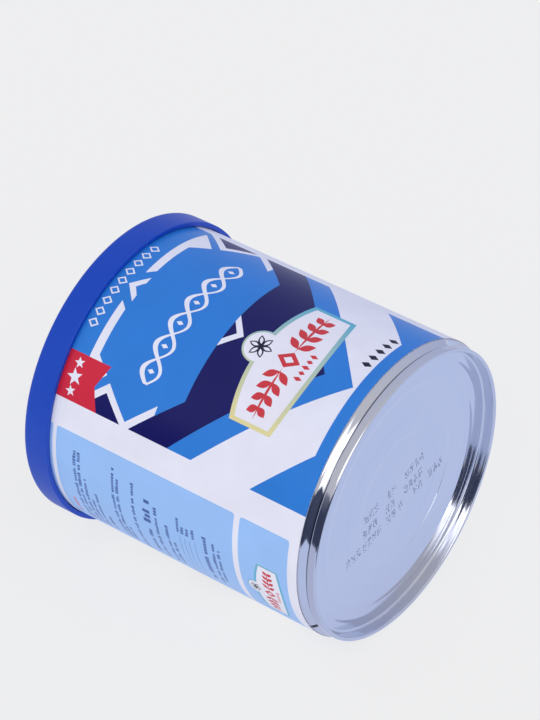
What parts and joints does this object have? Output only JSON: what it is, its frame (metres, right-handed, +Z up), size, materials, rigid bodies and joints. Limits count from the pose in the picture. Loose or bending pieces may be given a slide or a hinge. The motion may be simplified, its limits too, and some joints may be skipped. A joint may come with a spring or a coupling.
{
  "type": "condensed milk can",
  "caption": "Round tinplate can of condensed milk lying on its side, with a seamed base end, a wrap-round printed paper label and a press-on plastic overcap.",
  "frame": {"origin": "centre of the footprint on the ground: the middle of the bounding box in X and Y, at its lowest Z", "axes": "+X along the can's axis towards its base end, leaning down by about 1.1 degrees; +Z up; the cap is at -X"},
  "size_m": [0.1118, 0.1026, 0.1026],
  "materials": {
    "tinplate_body": "bright tinplate",
    "tinplate_end": "bright lacquered tinplate",
    "label_paper": "varnished offset-printed paper",
    "cap_plastic": "satin moulded LDPE"
  },
  "bodies": {
    "root": {"can_body": "tinplate_body", "bottom_end": "tinplate_end", "label": "label_paper", "lid": "cap_plastic"}
  },
  "joints": []
}
